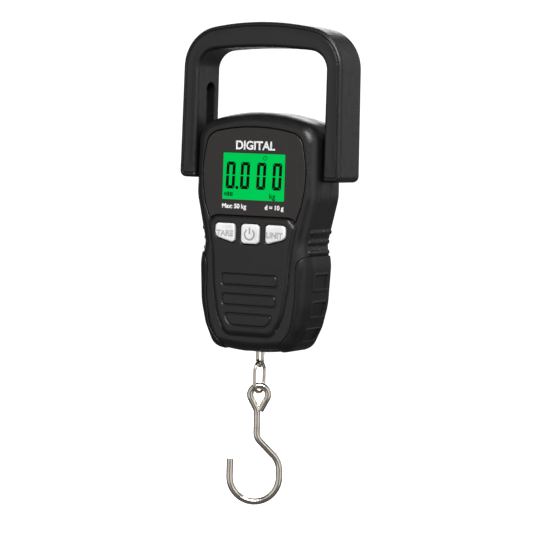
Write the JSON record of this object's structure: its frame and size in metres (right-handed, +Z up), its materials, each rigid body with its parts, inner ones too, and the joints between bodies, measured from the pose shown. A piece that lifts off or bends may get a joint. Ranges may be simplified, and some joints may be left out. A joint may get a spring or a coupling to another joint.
{
  "type": "digital fish scale",
  "caption": "Hand-held hanging scale: black case with a lit display, sliding in a U-shaped handle, with a chain and a bent-wire hook below.",
  "frame": {"origin": "on the handle's centre line at mid depth, 12.5 mm below the top of the grip bar, where the hand holds it", "axes": "+Z up, the display faces -Y, +X to the reader's right"},
  "size_m": [0.1012, 0.0392, 0.2707],
  "materials": {
    "case_plastic": "satin black moulded plastic",
    "grip_rubber": "soft matt black",
    "window_gloss": "polished dark window",
    "display_green": "green lit display",
    "frame_plastic": "white moulded plastic",
    "light_guide": "frosted clear",
    "board_green": "solder mask",
    "chip_black": "matt epoxy",
    "key_plastic": "satin off-white",
    "cell_aluminium": "milled",
    "gauge_foil": "amber film",
    "zinc_steel": "zinc plated",
    "nickel_wire": "nickel plated wire",
    "shoe_acetal": "smooth acetal",
    "battery_sleeve": "printed sleeve"
  },
  "bodies": {
    "handle_body": {"handle": "case_plastic"},
    "case_body": {"front_case": "case_plastic", "rear_case": "case_plastic", "side_grip_left": "grip_rubber", "side_grip_right": "grip_rubber", "display_window": "window_gloss", "lcd_glass": "display_green", "lcd_frame": "frame_plastic", "backlight": "light_guide", "zebra_strip": "grip_rubber", "circuit_board": "board_green", "controller_chip": "chip_black", "board_screws": "zinc_steel", "tact_switches": "chip_black", "load_cell": "cell_aluminium", "strain_gauges": "gauge_foil", "load_cell_screws": "zinc_steel", "load_yoke": "zinc_steel", "slide_shoe_left": "shoe_acetal", "slide_shoe_right": "shoe_acetal", "shoe_screws": "zinc_steel", "eye_bolt": "nickel_wire", "lock_nut": "zinc_steel", "battery_upper": "battery_sleeve", "battery_lower": "battery_sleeve", "battery_contacts": "nickel_wire", "battery_springs": "nickel_wire", "case_screws": "zinc_steel"},
    "key_tare_body": {"key_tare": "key_plastic", "plunger_tare": "chip_black"},
    "key_power_body": {"key_power": "key_plastic", "plunger_power": "chip_black"},
    "key_unit_body": {"key_unit": "key_plastic", "plunger_unit": "chip_black"},
    "upper_link_body": {"chain_link_upper": "nickel_wire"},
    "lower_link_body": {"chain_link_lower": "nickel_wire"},
    "hook_body": {"hook": "nickel_wire"},
    "battery_door_body": {"battery_door": "case_plastic"}
  },
  "joints": [
    {"name": "case_slide", "type": "slide", "parent": "handle_body", "child": "case_body", "axis": [0, 0, 1], "range_m": [0, 0.034]},
    {"name": "press_tare", "type": "slide", "parent": "case_body", "child": "key_tare_body", "axis": [0, 1, 0], "range_m": [0, 0.0008], "stiffness_N_per_m": 1500, "springref_m": -0.0004},
    {"name": "press_power", "type": "slide", "parent": "case_body", "child": "key_power_body", "axis": [0, 1, 0], "range_m": [0, 0.0008], "stiffness_N_per_m": 1500, "springref_m": -0.0004},
    {"name": "press_unit", "type": "slide", "parent": "case_body", "child": "key_unit_body", "axis": [0, 1, 0], "range_m": [0, 0.0008], "stiffness_N_per_m": 1500, "springref_m": -0.0004},
    {"name": "upper_link_swing", "type": "hinge", "parent": "case_body", "child": "upper_link_body", "pos_m": [0, -0.0037, -0.1652], "axis": [0.6884, 0.7254, 0], "range_deg": [-16, 16]},
    {"name": "lower_link_swing", "type": "hinge", "parent": "upper_link_body", "child": "lower_link_body", "pos_m": [0, -0.0037, -0.1795], "axis": [0.7254, -0.6884, 0], "range_deg": [-30, 30]},
    {"name": "hook_swing", "type": "hinge", "parent": "lower_link_body", "child": "hook_body", "pos_m": [0, -0.0037, -0.1943], "axis": [-0.342, 0.9397, 0], "range_deg": [-45, 45]},
    {"name": "battery_door_lift", "type": "slide", "parent": "case_body", "child": "battery_door_body", "axis": [0, 1, 0], "range_m": [0, 0.03]}
  ]
}
